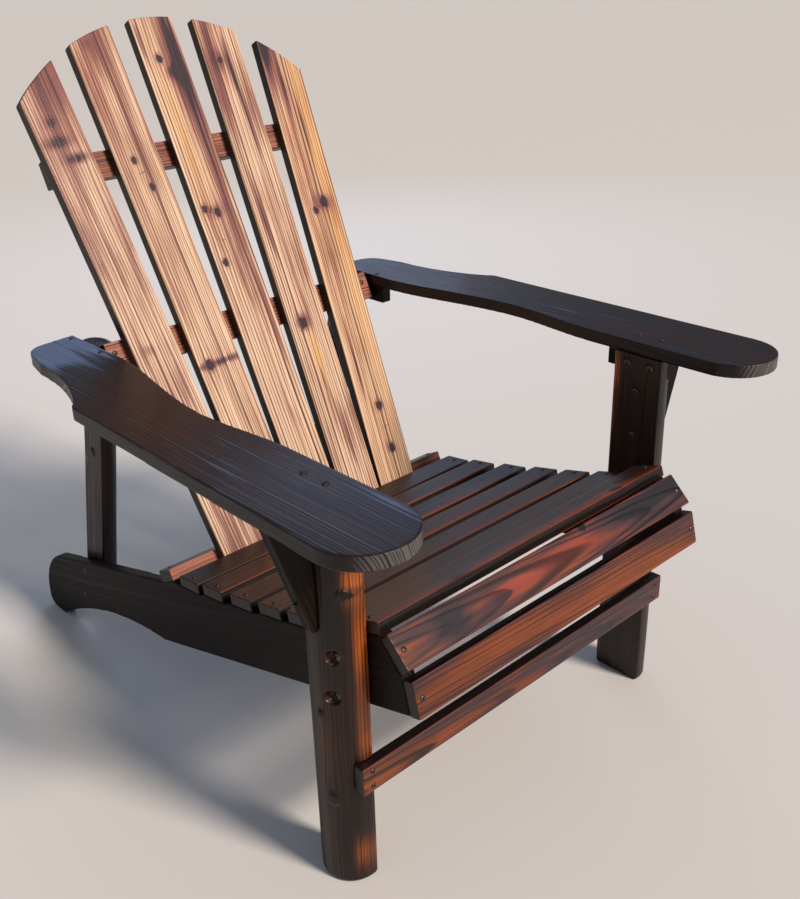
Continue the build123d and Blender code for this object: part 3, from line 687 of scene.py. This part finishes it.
# Back slats, numbered from -X. Across runs towards -X.
backSlats = dict(
    crownRadius=332 * mm,  # the arc that the five tops are sawn to
    along=(0, 0.4, 1),
    face=(0, -1, 0.5),
    uneven=0.25,
    lineHeight=0.0,
    topMark=(760, 0, 330, 300, 0.02, 0.28, 0),  # all tops a little darker than the lower halves
    boards=[
        dict(pith=(95, 40), knots=[(596, -11, 4)], base=(0.12, 0.2, -0.05), marks=[
            (690, 0, 120, 60, 0.15, 0.15, 0), (622, 9, 8, 20, 0.8, 0.2, 0),
            (596, -11, 7, 17, 1.0, 0.2, 0), (650, 5, 7, 9, 0.5, 0.1, 0),
            (318, 9, 9, 12, 0.4, 0.1, 0)]),
        dict(pith=(-120, 35), knots=[(580, 7, 4.5), (538, -5, 5), (272, 17, 7)],
             base=(-0.1, 0.15, 0.05), marks=[
            (745, 0, 70, 60, 0.45, 0.4, 0), (752, 12, 10, 12, 0.4, 0, 0),
            (560, -7, 250, 1.5, 0.9, 0.5, 0), (272, 0, 5, 60, 1.0, 0.2, 0),
            (272, 0, 22, 60, 0.25, 0.1, 0), (190, -6, 60, 12, 0.25, 0.3, 0)]),
        dict(pith=(70, 50), knots=[(719, 8, 5.5), (492, 21, 5), (484, 2, 6), (409, 18, 5)],
             base=(-0.05, 0.1, 0.05), marks=[
            (720, -20, 110, 18, 0.9, 0.5, 0), (697, -8, 12, 14, 0.7, 0.2, 0),
            (560, -24, 190, 14, 0.5, 0.4, 0), (740, 30, 60, 6, 0.9, 0.4, 0),
            (600, 14, 110, 12, -0.3, 0.0, 0.4), (488, 11, 12, 24, 0.35, 0.2, 0),
            (380, -20, 90, 10, 0.3, 0.2, 0)]),
        dict(pith=(-80, 30), knots=[(708, 9, 5), (291, 9, 7.5)], base=(0.0, 0.1, 0.05), marks=[
            (720, 24, 120, 12, 0.6, 0.4, 0), (690, -6, 50, 3.5, 1.2, 0.3, 0),
            (600, -10, 60, 4, 1.0, 0.3, 0), (600, -22, 120, 12, 0.5, 0.3, 0),
            (708, 9, 16, 9, 0.5, 0.2, 0), (450, 20, 60, 4, 0.7, 0.2, 0),
            (291, 9, 14, 13, 0.8, 0.3, 0), (235, 2, 55, 8, -0.4, -0.5, 0.6),
            (200, 3, 30, 2, 1.1, 0.2, 0), (90, -8, 50, 5, 0.7, 0.3, 0)]),
        dict(pith=(130, 45), knots=[(467, -8, 8), (455, 12, 5), (130, -4, 6), (59, -6, 6)],
             base=(-0.1, 0.1, 0.2), marks=[
            (740, 28, 45, 14, 1.4, 0.5, -0.3), (690, 24, 70, 10, 0.6, 0.4, -0.3),
            (655, 8, 70, 4, 0.9, 0.4, 0), (590, -9, 60, 3, 0.9, 0.3, 0),
            (467, -4, 14, 22, 0.5, 0.2, -0.2), (480, -20, 260, 14, 0, -0.1, 0.4),
            (130, -6, 12, 14, 0.4, 0.1, 0), (59, -6, 12, 12, 0.4, 0.1, 0),
            (200, 18, 40, 2, 1.0, 0.3, 0)]),
    ],
)
middleSlat = BoardFrame("back_slat_3", backSlats["along"], backSlats["face"])
crownTop = middleSlat.toWorld(np.array([[middleSlat.size[0] / 2, 0, 0]]))[0]
crownCentre = crownTop - middleSlat.axes[:, 0] * backSlats["crownRadius"]
for number, board in enumerate(backSlats["boards"], start=1):
    board["marks"].append(backSlats["topMark"])
    board["uneven"] = backSlats["uneven"]
    board["lineHeight"] = backSlats["lineHeight"]
    plank(f"back_slat_{number}", "back_boards", backSlats["along"], backSlats["face"], board,
          crown=(crownCentre, backSlats["crownRadius"]))
print("back slats grown")

# Seat slats, numbered from the rear. Across runs towards the back, so the red-orange streaks
# on negative values lie along the front edges.
seatBase = (0.25, 0.45, 0.0)
seatSlats = [
    dict(seed="seat1", marks=[(300, 0, 200, 40, 0.2, 0.2, 0)]),
    dict(seed="seat2", marks=[(170, -22, 120, 7, -0.3, -0.4, 0.5)]),
    dict(seed="seat3", marks=[(230, -24, 160, 6, -0.3, -0.4, 0.5)]),
    dict(seed="seat4", marks=[(260, -24, 200, 5, -0.3, -0.4, 0.5)]),
    dict(seed="seat5", marks=[(330, -24, 150, 6, -0.3, -0.4, 0.5)]),
    dict(seed="seat6", marks=[(150, -22, 130, 8, -0.2, -0.4, 0.3)]),
    dict(seed="seat7", knots=[(130, -20, 7), (430, -16, 8)],
         marks=[(330, -24, 300, 12, -0.4, -0.6, 0.8), (130, -20, 22, 14, 0.6, 0.2, 0),
                (430, -16, 30, 10, -0.3, -0.4, 0.8)]),
]
for number, board in enumerate(seatSlats, start=1):
    plank(f"seat_slat_{number}", "seat_boards", (1, 0, 0), (0, 0, 1), dict(board, base=seatBase))

# Aprons and the front stretcher. Across runs up the board.
aprons = {
    "apron_upper": dict(
        seed="upper", pith=(4, 26), base=(0.55, 0.3, 0.0), knots=[(330, 20, 6)],
        marks=[(235, 2, 120, 12, -0.75, 0.0, 1.0), (330, 18, 22, 8, -0.2, 0.0, 0.8),
               (85, 0, 22, 16, 0.9, 0.3, 0), (490, 8, 110, 12, 0.55, 0.2, 0),
               (470, 30, 120, 8, -0.4, 0, 0.4)]),
    "apron_lower": dict(
        seed="lower", pith=(60, 40), base=(0.05, 0.35, 0.0),
        marks=[(300, 29, 400, 9, 0.9, 0.5, 0), (570, 0, 60, 60, 0.3, 0.3, 0),
               (240, -4, 220, 8, -0.3, -0.4, 0)]),
    "front_stretcher": dict(
        seed="stretcher", pith=(10, 34), base=(0.25, 0.5, 0.0),
        marks=[(120, -4, 110, 10, -0.4, -0.4, 0), (480, 0, 120, 40, 0.4, 0.3, 0)]),
}
for name, board in aprons.items():
    plank(name, "apron_boards", (1, 0, 0), (0, -1, 0.2), board)

# Rails behind the back, and the cleats under the arms: the front ones face inwards, the rear
# ones outwards.
rails = dict(edge=1.2, base=(0.0, 0.4, 0.0))
cleats = dict(edge=1.2)
for name in ("back_rail_top", "back_rail_mid", "back_rail_bottom"):
    plank(name, "rail_boards", (1, 0, 0), (0, -1, 0.5), dict(rails, seed=name))
for side, sign in (("left", -1), ("right", 1)):
    plank(f"front_cleat_{side}", "side_boards", (0, 1, 0), (-sign, 0, 0), dict(cleats, seed=f"front{side}"))
    plank(f"rear_cleat_{side}", "side_boards", (0, 1, 0), (sign, 0, 0), dict(cleats, seed=f"rear{side}"))
print("seat, aprons, rails and cleats grown")


working = dict(
    merge=0.005 * mm,  # CAD meshes are loose triangles
    voxel=1.8,  # mm, where a piece gives none of its own
    easing=2,
    easeFactor=0.5,
)


# A piece cut to a curved outline, or a log: its CAD shape is remeshed in the board's own frame,
# which softens its sawn edges evenly, and worked over.
def worked(name, slot, alongHint, faceHint, board):
    place = BoardFrame(name, alongHint, faceHint)
    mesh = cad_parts[name].data.copy()
    shape = bmesh.new()
    shape.from_mesh(mesh)
    bmesh.ops.remove_doubles(shape, verts=shape.verts, dist=working["merge"])
    shape.to_mesh(mesh)
    shape.free()
    writePoints(mesh, place.toLocal(readPoints(mesh)))
    holder = bpy.data.objects.new("holder", mesh)
    bpy.context.scene.collection.objects.link(holder)
    remesh = holder.modifiers.new("even faces", "REMESH")
    remesh.mode = "VOXEL"
    remesh.voxel_size = board.get("voxel", working["voxel"]) * mm
    smooth = holder.modifiers.new("eased edges", "SMOOTH")
    smooth.factor = working["easeFactor"]
    smooth.iterations = working["easing"]
    evaluated = holder.evaluated_get(bpy.context.evaluated_depsgraph_get())
    made = bpy.data.meshes.new_from_object(evaluated)
    holder.modifiers.clear()
    bpy.data.objects.remove(holder)
    made.materials.clear()
    for extra in list(made.attributes):
        if extra.name in ("UVMap", "COLOR_0"):
            made.attributes.remove(extra)
    return finishBoard(name, slot, made, place, board)


# Arms: along runs from the rear tab to the nose. Their scorch colour is a painted blue sky sheen:
# the marks lay it thickest on the left arm's rear tab, some on its front half and on the right
# arm's tab, and less of it, in a lighter tone, in the left arm's middle.
arms = dict(
    left=dict(seed="armLeft", pith=(150, 60), base=(0.2, 0.5, 0.0), voxel=1.7, uneven=0.4,
              marks=[(35, 0, 85, 120, 1.25, 0.3, 0), (300, 0, 130, 90, -0.3, -0.35, 0),
                     (600, 0, 150, 90, 0.15, 0.1, 0), (490, 8, 4, 45, -0.2, 0.9, 0)]),
    right=dict(seed="armRight", pith=(-140, 60), base=(0.2, 0.45, 0.0), voxel=1.7, uneven=0.4,
               marks=[(60, 0, 90, 90, 0.3, 0.2, 0), (420, 0, 70, 5, 0.5, 0.2, 0),
                      (520, 15, 50, 6, 0.4, 0.2, 0)]),
)
for side, board in arms.items():
    worked(f"arm_{side}", "arm_boards", (0, -1, 0), (0, 0, 1), board)
print("arms worked")

stringers = dict(pith=(60, 70), voxel=2.2)
gussets = dict(base=(0.0, 0.3, 0.1), voxel=1.6)
for side, sign in (("left", -1), ("right", 1)):
    worked(f"stringer_{side}", "side_boards", (0, 1, 0), (sign, 0, 0),
           dict(stringers, seed=f"stringer{side}"))
    worked(f"gusset_{side}", "side_boards", (0, 0, 1), (0, -1, 0), dict(gussets, seed=f"gusset{side}"))
print("stringers and gussets worked")

# Half logs: the pith lies on the log's own axis, so the sawn face shows straight lines.
logs = dict(
    pith=(0, 12), base=(0.12, 0.6, 0.0), voxel=1.6, knotHeight=2.6, uneven=1.6, knotsOneSide=0.0,
    lineHeight=0.2,
    # Orange along one arris, partly bare wood where the bark side met the saw and partly a painted
    # sunlit highlight: the front one on the left leg, the rear one on the right leg.
    marks=[(490, 35, 28, 6, -0.6, -0.7, 1.1), (425, 37, 22, 4, -0.5, -0.6, 0.9),
           (335, 39, 60, 2, -0.4, -0.5, 0.9), (228, 39, 40, 2, -0.3, -0.5, 0.7),
           (45, 36, 22, 4, -0.3, -0.4, 0.5), (210, 8, 60, 9, -0.1, -0.3, 0.12),
           (331, 23, 6, 6, -0.8, -0.9, 0.4), (277, 20, 6, 6, -0.8, -0.9, 0.4)],
)
logKnots = dict(
    front_leg_left=[(478, 25, 8), (412, 33, 5), (250, 4, 5), (130, 14, 8)],
    front_leg_right=[(300, 5, 8), (120, -12, 8)],
    rear_post_left=[(300, 0, 6)],
    rear_post_right=[(260, 5, 6)],
)
logAlong = dict(front_leg=(0, 0, 1), rear_post=(0, -0.25, 1))
for side, sign in (("left", -1), ("right", 1)):
    for kind, flatSide in (("front_leg", -sign), ("rear_post", sign)):
        name = f"{kind}_{side}"
        worked(name, "half_logs", logAlong[kind], (flatSide, 0, 0),
               dict(logs, seed=name, knots=logKnots[name]))
print("logs worked")

# Screws: sizes are against the head's radius, except for the rod, which is against its length.
screws = dict(
    headDome=0.42,
    headSegments=24,
    headRings=14,
    recessLong=1.15,  # the cross recess
    recessWide=0.2,
    recessDeep=0.7,
    shank=0.42,
    rodSides=12,
    rodMiddle=-0.52,
    rodShare=0.94,
    merge=0.001 * mm,
    endBand=1.5 * mm,  # how much of each end is measured to tell the head from the tip
    dullScale=420,  # grey blotches of 2 mm, in cycles per metre
    smoothBelow=40,  # degrees
    seed=7,
)


# One domed, cross-recessed head and its shank on every point. The points carry the way the
# screw faces, its head's radius and its length.
def growScrewTree():
    tree, given = newTree("crossHeadScrews", [
        ("Dome", "Float", screws["headDome"]), ("Recess Long", "Float", screws["recessLong"]),
        ("Recess Wide", "Float", screws["recessWide"]), ("Recess Deep", "Float", screws["recessDeep"]),
        ("Shank", "Float", screws["shank"]), ("Seed", "Int", screws["seed"]), ("Material", "Material", None),
    ])
    ball = add(tree, "GeometryNodeMeshUVSphere",
               {"Segments": screws["headSegments"], "Rings": screws["headRings"], "Radius": 1.0})
    squash = add(tree, "ShaderNodeCombineXYZ", {"X": 1.0, "Y": 1.0, "Z": given["Dome"]})
    drop = add(tree, "ShaderNodeMath", {0: given["Dome"], 1: -1.0}, operation="MULTIPLY")
    drop = add(tree, "ShaderNodeCombineXYZ", {"Z": drop})
    dome = add(tree, "GeometryNodeTransform", {"Geometry": ball, "Translation": drop, "Scale": squash})
    longWay = add(tree, "ShaderNodeCombineXYZ",
                  {"X": given["Recess Long"], "Y": given["Recess Wide"], "Z": given["Recess Deep"]})
    crossWay = add(tree, "ShaderNodeCombineXYZ",
                   {"X": given["Recess Wide"], "Y": given["Recess Long"], "Z": given["Recess Deep"]})
    slot = add(tree, "GeometryNodeMeshCube", {"Size": longWay})
    otherSlot = add(tree, "GeometryNodeMeshCube", {"Size": crossWay})
    cut = add(tree, "GeometryNodeMeshBoolean", {"Mesh 1": dome}, operation="DIFFERENCE")
    tree.links.new(slot, cut.node.inputs["Mesh 2"])
    tree.links.new(otherSlot, cut.node.inputs["Mesh 2"])
    facing = add(tree, "GeometryNodeInputNamedAttribute", {"Name": "facing"}, data_type="FLOAT_VECTOR")
    radius = add(tree, "GeometryNodeInputNamedAttribute", {"Name": "radius"}, data_type="FLOAT")
    length = add(tree, "GeometryNodeInputNamedAttribute", {"Name": "length"}, data_type="FLOAT")
    upright = add(tree, "FunctionNodeAlignRotationToVector", {"Vector": facing}, axis="Z")
    angle = add(tree, "FunctionNodeRandomValue", {2: 0.0, 3: math.pi / 2, 8: given["Seed"]},
                data_type="FLOAT")
    spin = add(tree, "FunctionNodeAxisAngleToRotation", {"Axis": (0, 0, 1), "Angle": angle.node.outputs[1]})
    upright = add(tree, "FunctionNodeRotateRotation", {"Rotation": upright, "Rotate By": spin},
                  rotation_space="LOCAL")
    headSize = add(tree, "ShaderNodeCombineXYZ", {"X": radius, "Y": radius, "Z": radius})
    heads = add(tree, "GeometryNodeInstanceOnPoints",
                {"Points": given["Geometry"], "Instance": cut, "Rotation": upright, "Scale": headSize})
    rod = add(tree, "GeometryNodeMeshCylinder",
              {"Vertices": screws["rodSides"], "Radius": 1.0, "Depth": 1.0})
    rodDown = add(tree, "GeometryNodeTransform",
                  {"Geometry": rod, "Translation": (0, 0, screws["rodMiddle"]),
                   "Scale": (1, 1, screws["rodShare"])})
    thin = add(tree, "ShaderNodeMath", {0: radius, 1: given["Shank"]}, operation="MULTIPLY")
    rodSize = add(tree, "ShaderNodeCombineXYZ", {"X": thin, "Y": thin, "Z": length})
    rods = add(tree, "GeometryNodeInstanceOnPoints",
               {"Points": given["Geometry"], "Instance": rodDown, "Rotation": upright, "Scale": rodSize})
    both = add(tree, "GeometryNodeJoinGeometry", {"Geometry": heads})
    tree.links.new(rods, both.node.inputs["Geometry"])
    whole = add(tree, "GeometryNodeRealizeInstances", {"Geometry": both})
    painted = add(tree, "GeometryNodeSetMaterial", {"Geometry": whole, "Material": given["Material"]})
    add(tree, "NodeGroupOutput", {0: painted})
    return tree


# Reads each screw's top, facing, head radius and length off its CAD solid.
def readScrews(mesh):
    shape = bmesh.new()
    shape.from_mesh(mesh)
    bmesh.ops.remove_doubles(shape, verts=shape.verts, dist=screws["merge"])
    found = []
    waiting = set(shape.verts)
    for first in shape.verts:
        if first not in waiting:
            continue
        waiting.remove(first)
        front = [first]
        island = []
        while front:
            vert = front.pop()
            island.append(vert.co[:])
            for edge in vert.link_edges:
                other = edge.other_vert(vert)
                if other in waiting:
                    waiting.remove(other)
                    front.append(other)
        points = np.array(island)
        # A screw is far longer than wide: its two ends give its axis.
        rough = np.linalg.svd(points - points.mean(0), full_matrices=False)[2][0]
        t = points @ rough
        low = points[t < t.min() + screws["endBand"]]
        high = points[t > t.max() - screws["endBand"]]
        spreadLow, spreadHigh = np.ptp(low, axis=0).sum(), np.ptp(high, axis=0).sum()
        tip, top = (low, high) if spreadLow < spreadHigh else (high, low)
        facing = top.mean(0) - tip.mean(0)
        facing /= np.linalg.norm(facing)
        t = (points - tip.mean(0)) @ facing
        radius = np.linalg.norm(points - tip.mean(0) - t[:, None] * facing, axis=1).max()
        found.append((tip.mean(0) + facing * t.max(), facing, radius, t.max()))
    shape.free()
    return found


# Zinc-plated steel gone dull and dark in the flame: a grey metal with a broken, low shine.
def dulledZinc():
    material = bpy.data.materials.new("dulledZincSteel")
    material.use_nodes = True
    tree = material.node_tree
    shader = tree.nodes["Principled BSDF"]
    place = add(tree, "ShaderNodeTexCoord").node.outputs["Object"]
    blotch = add(tree, "ShaderNodeTexNoise",
                 {"Vector": place, "Scale": screws["dullScale"], "Detail": 3.0})
    colour = add(tree, "ShaderNodeMix", {0: blotch, 6: linear("#77716c"), 7: linear("#211d1b")},
                 data_type="RGBA")
    tree.links.new(colour.node.outputs[2], shader.inputs["Base Color"])
    rough = add(tree, "ShaderNodeMapRange", {"Value": blotch, "To Min": 0.3, "To Max": 0.6})
    tree.links.new(rough, shader.inputs["Roughness"])
    shader.inputs["Metallic"].default_value = 1.0
    bump = add(tree, "ShaderNodeBump", {"Height": blotch, "Strength": 0.3, "Distance": 0.2 * mm})
    tree.links.new(bump, shader.inputs["Normal"])
    return material


zinc = dulledZinc()
screwTree = growScrewTree()
for name in [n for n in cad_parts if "screws" in n]:
    found = readScrews(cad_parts[name].data)
    points = bpy.data.meshes.new(name)
    tops, facings, radii, lengths = zip(*found)
    points.from_pydata([tuple(top) for top in tops], [], [])
    writeVectors(points, "facing", facings)
    for label, values in (("radius", radii), ("length", lengths)):
        points.attributes.new(label, "FLOAT", "POINT").data.foreach_set("value", values)
    driven = grow(points, screwTree, {"Material": zinc})
    driven.polygons.foreach_set("use_smooth", [True] * len(driven.polygons))
    driven.set_sharp_from_angle(angle=math.radians(screws["smoothBelow"]))
    driven.name = name
    piece = bpy.data.objects.new(f"{name}_piece", driven)
    bpy.context.scene.collection.objects.link(piece)
    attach(piece, "root")
    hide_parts(name)
print("screws driven")

# A plain pale floor, far wider than the view.
stage = dict(floor="#e8e7e5", floorRough=0.8, floorSize=60, world=0.36, sky="#c4ccda")
reach = stage["floorSize"]
corners = [(-reach, -reach, 0), (reach, -reach, 0), (reach, reach, 0), (-reach, reach, 0)]
floorMesh = bpy.data.meshes.new("floor")
floorMesh.from_pydata(corners, [], [(0, 1, 2, 3)])
floor = bpy.data.objects.new("floor", floorMesh)
bpy.context.scene.collection.objects.link(floor)
floorPaint = bpy.data.materials.new("paleStudioFloor")
floorPaint.use_nodes = True
floorShader = floorPaint.node_tree.nodes["Principled BSDF"]
floorShader.inputs["Base Color"].default_value = linear(stage["floor"])
floorShader.inputs["Roughness"].default_value = stage["floorRough"]
floorMesh.materials.append(floorPaint)

world = bpy.data.worlds.new("studio")
bpy.context.scene.world = world
world.use_nodes = True
world.node_tree.nodes["Background"].inputs["Color"].default_value = linear(stage["sky"])
world.node_tree.nodes["Background"].inputs["Strength"].default_value = stage["world"]

# A soft, warm key from the front right, as wide as a big diffuser looks from the chair, and a
# faint cool box behind that lies along the arms as a blue sheen.
keyLight = dict(towards=(0.20, -0.76, 0.60), strength=3.2, width=14, colour="#ffeede")
key = bpy.data.lights.new("warmKey", "SUN")
key.energy = keyLight["strength"]
key.angle = math.radians(keyLight["width"])
key.color = linear(keyLight["colour"])[:3]
keyObject = bpy.data.objects.new("warmKey", key)
keyObject.rotation_mode = "QUATERNION"
keyObject.rotation_quaternion = Vector(keyLight["towards"]).to_track_quat("Z", "Y")
bpy.context.scene.collection.objects.link(keyObject)
rearBox = dict(place=(1.9, 2.4, 1.9), aim=(0, 0, 0.5), size=1.3, power=14, colour="#b8ccf4")
lamp = bpy.data.lights.new("coolRear", "AREA")
lamp.shape = "SQUARE"
lamp.size = rearBox["size"]
lamp.energy = rearBox["power"]
lamp.color = linear(rearBox["colour"])[:3]
lampObject = bpy.data.objects.new("coolRear", lamp)
lampObject.location = rearBox["place"]
lampObject.rotation_mode = "QUATERNION"
lampObject.rotation_quaternion = (Vector(rearBox["aim"]) - Vector(rearBox["place"])).to_track_quat("-Z", "Y")
bpy.context.scene.collection.objects.link(lampObject)

# The camera stands off from its aim along the direction of view, and leans a little.
viewpoint = dict(
    azimuth=-42.60,
    elevation=25.26,
    roll=-1.67,
    lens=48.45,
    sensor=36,
    aim=(0, -0.1368, 0.4086),
    distance=1.462,
)
azimuth, elevation, roll = (math.radians(viewpoint[k]) for k in ("azimuth", "elevation", "roll"))
level = math.cos(elevation)
back = Vector((math.sin(azimuth) * level, -math.cos(azimuth) * level, math.sin(elevation)))
right = Vector((math.cos(azimuth), math.sin(azimuth), 0))
up = back.cross(right)
rolledRight = math.cos(roll) * right + math.sin(roll) * up
rolledUp = math.cos(roll) * up - math.sin(roll) * right
camera = bpy.data.objects.new("camera", bpy.data.cameras.new("camera"))
bpy.context.scene.collection.objects.link(camera)
turn = Matrix((rolledRight, rolledUp, back)).transposed().to_4x4()
camera.matrix_world = Matrix.Translation(Vector(viewpoint["aim"]) + back * viewpoint["distance"]) @ turn
camera.data.sensor_fit = "HORIZONTAL"
camera.data.sensor_width = viewpoint["sensor"]
camera.data.lens = viewpoint["lens"]
bpy.context.scene.camera = camera
bpy.context.scene.view_settings.view_transform = "Standard"

bpy.context.view_layer.update()
